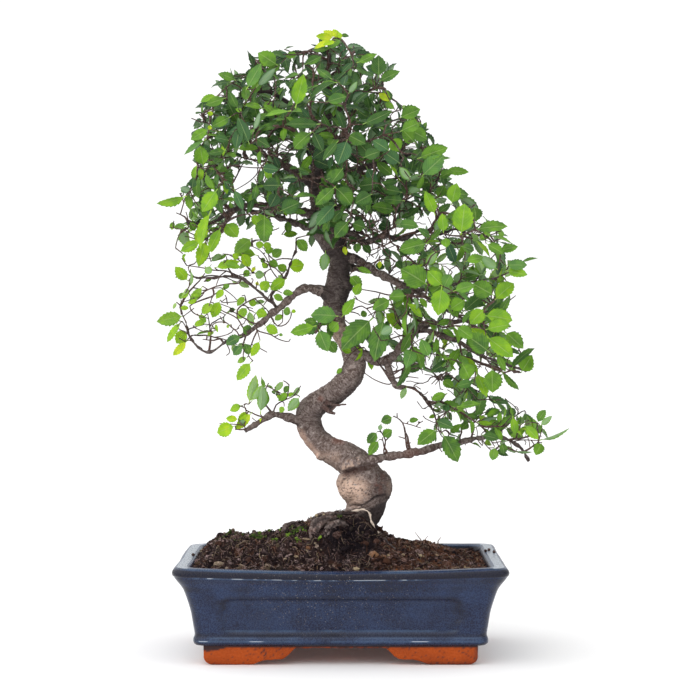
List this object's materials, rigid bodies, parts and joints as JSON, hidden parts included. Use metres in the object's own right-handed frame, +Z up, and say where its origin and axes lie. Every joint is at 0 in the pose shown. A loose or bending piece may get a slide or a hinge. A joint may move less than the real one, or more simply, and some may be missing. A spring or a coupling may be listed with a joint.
{
  "type": "bonsai tree in a pot",
  "caption": "Chinese elm bonsai with an S-shaped trunk, thin branches and small leaves, in a shallow blue-glazed rectangular pot on corner feet.",
  "frame": {"origin": "on the ground under the four feet, at the middle of the whole plant's box", "axes": "+Z up along the trunk, +X to the right of the pot's long side, -Y towards the viewer's side of the plant"},
  "size_m": [0.2588, 0.163, 0.3849],
  "materials": {
    "pot_glaze": "gloss",
    "bare_clay": "matte",
    "bark": "matte",
    "leaves": "satin",
    "soil": "matte",
    "moss": "matte",
    "screen_plastic": "matte"
  },
  "bodies": {
    "root": {"back_crown_branch": "bark", "back_left_branch": "bark", "back_right_branch": "bark", "drain_screen_left": "screen_plastic", "drain_screen_right": "screen_plastic", "front_crown_branch": "bark", "left_branch": "bark", "left_crown_branch": "bark", "left_low_crown_branch": "bark", "left_top_branch": "bark", "lower_left_branch": "bark", "lower_right_branch": "bark", "pot": "pot_glaze", "right_back_branch": "bark", "right_branch": "bark", "right_crown_branch": "bark", "right_high_branch": "bark", "right_top_branch": "bark", "right_upper_branch": "bark", "soil": "soil", "trunk": "bark", "twig_back_crown": "leaves", "twig_back_left": "leaves", "twig_back_right": "leaves", "twig_front_crown": "leaves", "twig_high_right_end": "leaves", "twig_high_right_middle": "leaves", "twig_left_crown_end": "leaves", "twig_left_crown_front": "leaves", "twig_left_hanging": "leaves", "twig_left_inner": "leaves", "twig_left_low_crown": "leaves", "twig_left_low_end": "leaves", "twig_left_middle": "leaves", "twig_left_outer": "leaves", "twig_left_rise": "leaves", "twig_left_tip": "leaves", "twig_left_top": "leaves", "twig_left_top_end": "leaves", "twig_low_left_end": "leaves", "twig_low_left_upright": "leaves", "twig_low_right_end": "leaves", "twig_low_right_first": "leaves", "twig_low_right_hanging": "leaves", "twig_low_right_outer": "leaves", "twig_low_right_rise": "leaves", "twig_low_right_second": "leaves", "twig_right_below": "leaves", "twig_right_crown": "leaves", "twig_right_end": "leaves", "twig_right_far": "leaves", "twig_right_middle": "leaves", "twig_right_near": "leaves", "twig_right_outer": "leaves", "twig_right_stub": "leaves", "twig_right_top": "leaves", "twig_top": "leaves", "twig_trunk_front": "leaves", "twig_upper_right_end": "leaves", "twig_upper_right_first": "leaves"}
  },
  "joints": []
}
